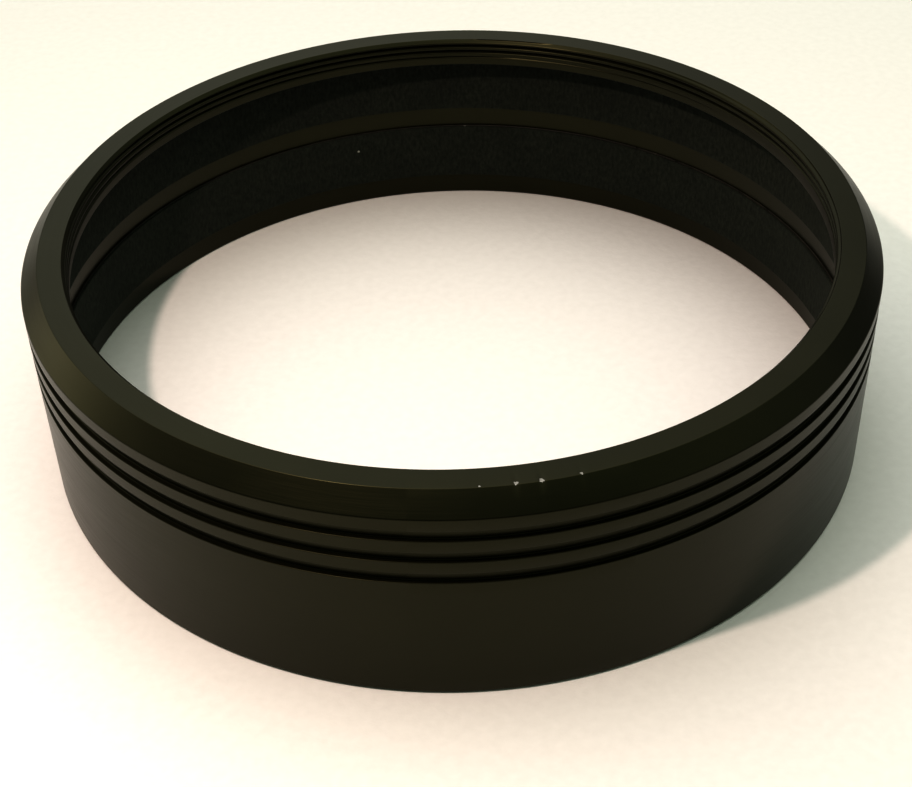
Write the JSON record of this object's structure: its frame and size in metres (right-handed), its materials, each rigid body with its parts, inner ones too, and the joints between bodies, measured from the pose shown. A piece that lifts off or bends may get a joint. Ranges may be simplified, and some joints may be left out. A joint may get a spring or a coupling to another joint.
{
  "type": "lens hood ring",
  "caption": "Short slip-on ring of black anodised aluminium with a threaded lip, outer grooves and a flock-lined bore.",
  "frame": {"origin": "on the ring's axis, in the plane of the rear rim that it stands on", "axes": "+Z along the ring's axis, from the plain rear rim to the threaded front lip; +X and +Y are across the ring"},
  "size_m": [0.091, 0.091, 0.0243],
  "materials": {
    "black_anodised_aluminium": "satin black anodised, fine turning marks",
    "black_flock": "matt short-pile flock",
    "adhesive_film": "clear acrylic adhesive, slightly yellow"
  },
  "bodies": {
    "root": {"hood_ring": "black_anodised_aluminium", "front_flock_strip": "black_flock", "rear_flock_strip": "black_flock", "front_adhesive_film": "adhesive_film", "rear_adhesive_film": "adhesive_film"}
  },
  "joints": []
}
